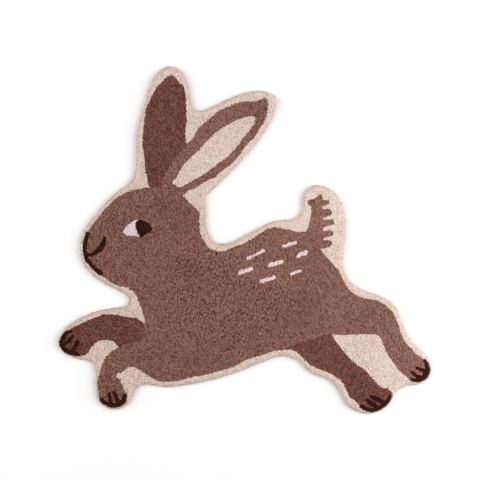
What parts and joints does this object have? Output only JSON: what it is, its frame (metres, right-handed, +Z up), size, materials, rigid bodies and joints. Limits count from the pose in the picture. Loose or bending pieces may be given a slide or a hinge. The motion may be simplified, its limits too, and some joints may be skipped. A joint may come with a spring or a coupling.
{
  "type": "rabbit shaped kids rug",
  "caption": "Flat tufted rug cut to the outline of a leaping rabbit, with short cut pile in browns inside a pale border and a rounded pile edge.",
  "frame": {"origin": "on the floor under the middle of the rug's outline box, on its flat underside", "axes": "+X from the nose towards the hind paws, +Y towards the ears, +Z up out of the pile"},
  "size_m": [0.9944, 0.9234, 0.014],
  "materials": {
    "pile_brown": "body brown cut pile, matt",
    "pile_dark": "dark brown cut pile of the far ear and far legs, matt",
    "pile_cream": "pale border cut pile, matt",
    "pile_line": "near black brown cut pile of the nose, mouth, pupil and claws, matt",
    "pile_fleck": "near white cut pile of the eye and the flecks, matt",
    "backing": "plain woven backing cloth, unbleached"
  },
  "bodies": {
    "root": {"rug": "pile_brown"}
  },
  "joints": []
}
